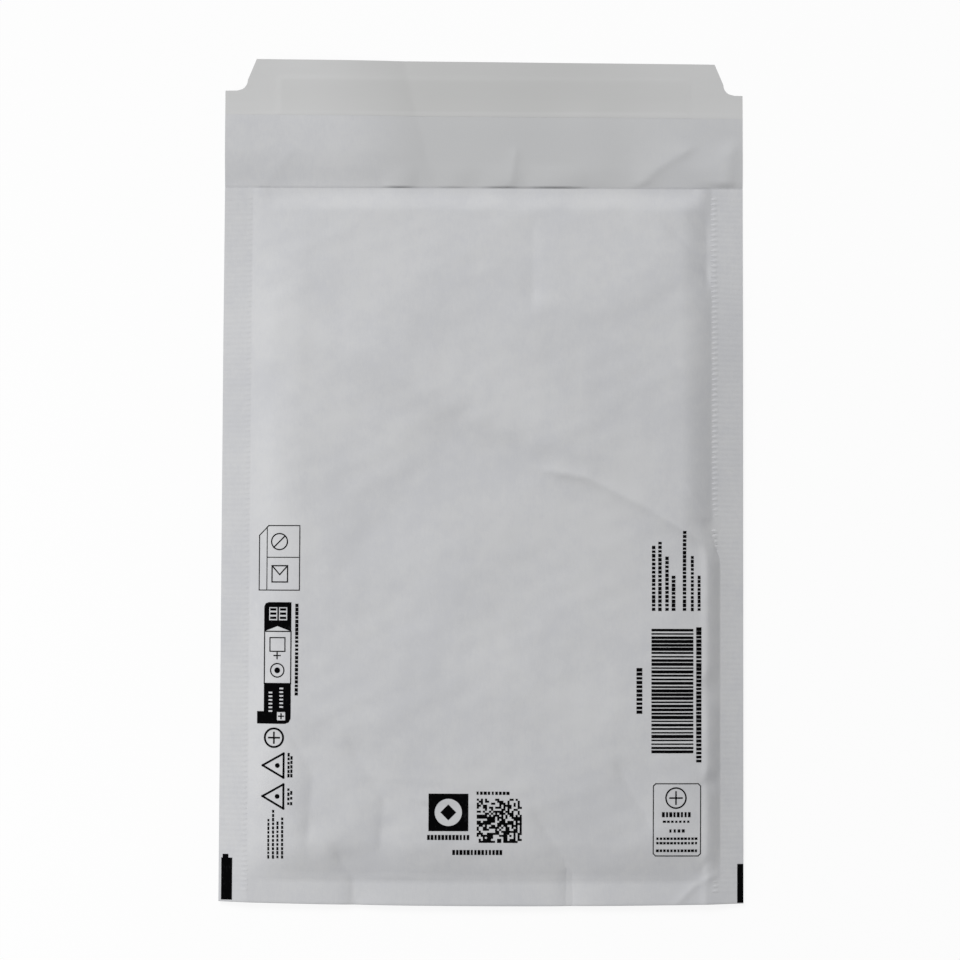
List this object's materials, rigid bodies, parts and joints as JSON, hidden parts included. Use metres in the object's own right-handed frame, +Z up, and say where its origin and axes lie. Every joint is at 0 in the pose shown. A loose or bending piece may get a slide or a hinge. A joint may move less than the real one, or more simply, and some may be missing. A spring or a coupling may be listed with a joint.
{
  "type": "padded envelope",
  "caption": "White paper mailing envelope with a bubble film lining, lying flat with its flap open and the release strip still over the glue.",
  "frame": {"origin": "on the table under the middle of the sheet, halfway between the fold at the foot and the flap's free edge", "axes": "+X across the envelope towards its right seam, +Y from the fold at the foot towards the flap, +Z up from the back panel through the front panel"},
  "size_m": [0.2, 0.325, 0.0083],
  "materials": {
    "white_paper": "matte white kraft paper, faint fibres, creased",
    "bubble_film": "clear polyethylene film with air bubbles",
    "glue": "thin tacky band",
    "release_paper": "smooth silicone coated paper with a slight sheen"
  },
  "bodies": {
    "root": {"paper_mailer": "white_paper", "bubble_lining": "bubble_film", "adhesive_band": "glue", "release_strip": "release_paper"}
  },
  "joints": []
}
